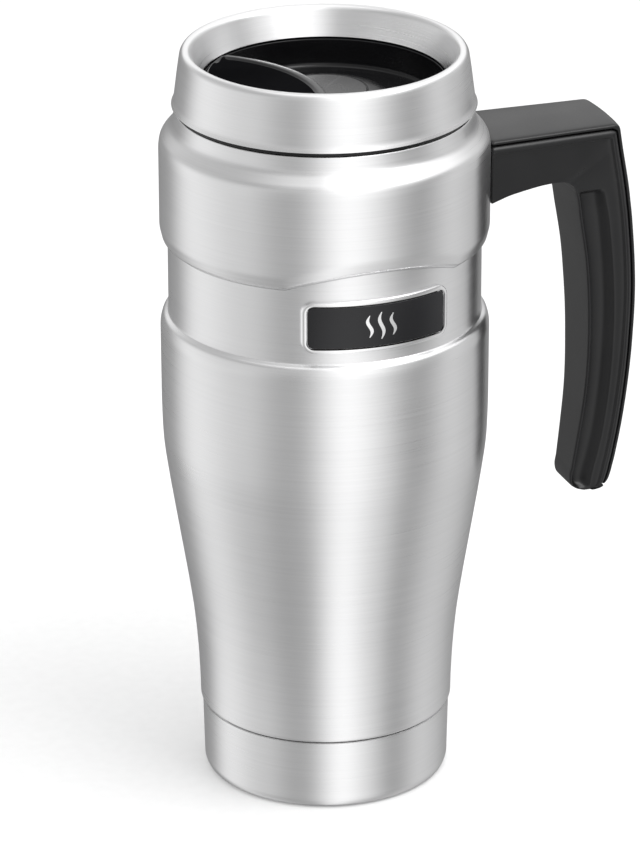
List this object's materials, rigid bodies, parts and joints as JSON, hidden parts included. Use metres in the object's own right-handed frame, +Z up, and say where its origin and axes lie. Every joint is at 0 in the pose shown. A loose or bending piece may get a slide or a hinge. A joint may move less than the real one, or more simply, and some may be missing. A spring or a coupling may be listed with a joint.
{
  "type": "insulated travel mug",
  "caption": "Tall vacuum-walled steel travel mug with a side handle, a neck badge and a screw-in drink-through lid with a flip lever.",
  "frame": {"origin": "centre of the flat panel under the foot, where the mug stands", "axes": "+Z up along the mug's axis, +X towards the handle, -Y towards the badge"},
  "size_m": [0.128, 0.0866, 0.203],
  "materials": {
    "brushed_steel": "fine circumferential brushing, satin",
    "liner_steel": "electropolished",
    "badge_metal": "bright satin",
    "badge_black": "gloss",
    "getter_metal": "sintered, matt",
    "handle_plastic": "satin moulded",
    "lid_plastic": "gloss moulded",
    "valve_plastic": "satin moulded",
    "silicone": "matt silicone",
    "hardware_steel": "plain stainless"
  },
  "bodies": {
    "mug_body": {"outer_shell": "brushed_steel", "inner_liner": "liner_steel", "base_cup": "brushed_steel", "shell_bottom": "liner_steel", "vacuum_seal": "liner_steel", "getter": "getter_metal", "badge_plate": "badge_metal", "badge_inlay": "badge_black", "handle_bracket": "liner_steel", "handle_frame": "handle_plastic", "handle_cover": "handle_plastic", "handle_screw_upper": "hardware_steel", "handle_screw_lower": "hardware_steel"},
    "lid_seal": {"lid_gasket": "silicone"},
    "lid": {"lid_steel_rim": "brushed_steel", "lid_body": "lid_plastic", "lid_base": "lid_plastic", "valve_cover": "lid_plastic", "lever_pin": "hardware_steel", "valve_spring": "hardware_steel"},
    "lever": {"lever": "lid_plastic"},
    "plunger": {"valve_stem": "valve_plastic", "valve_disc": "valve_plastic", "valve_seal": "silicone", "stem_clip": "hardware_steel"}
  },
  "joints": [
    {"name": "lid_lift", "type": "slide", "parent": "mug_body", "child": "lid_seal", "axis": [0, 0, 1], "range_m": [0, 0.0301]},
    {"name": "lid_turn", "type": "hinge", "parent": "lid_seal", "child": "lid", "pos_m": [0, 0, 0.1869], "axis": [0, 0, 1], "range_deg": [0, 900]},
    {"name": "lever_flip", "type": "hinge", "parent": "lid", "child": "lever", "pos_m": [-0.00711, -0.00116, 0.1934], "axis": [-0.1616, 0.9869, 0], "range_deg": [0, 90]},
    {"name": "valve_slide", "type": "slide", "parent": "lid", "child": "plunger", "axis": [0, 0, 1], "range_m": [-0.00201, 0], "deforming": ["valve_spring"]}
  ],
  "couplings": [
    {"joint": "lid_lift", "follows": "lid_turn", "m_per_rad": 0.0019099},
    {"joint": "valve_slide", "follows": "lever_flip", "m_per_rad": -0.0012732}
  ]
}
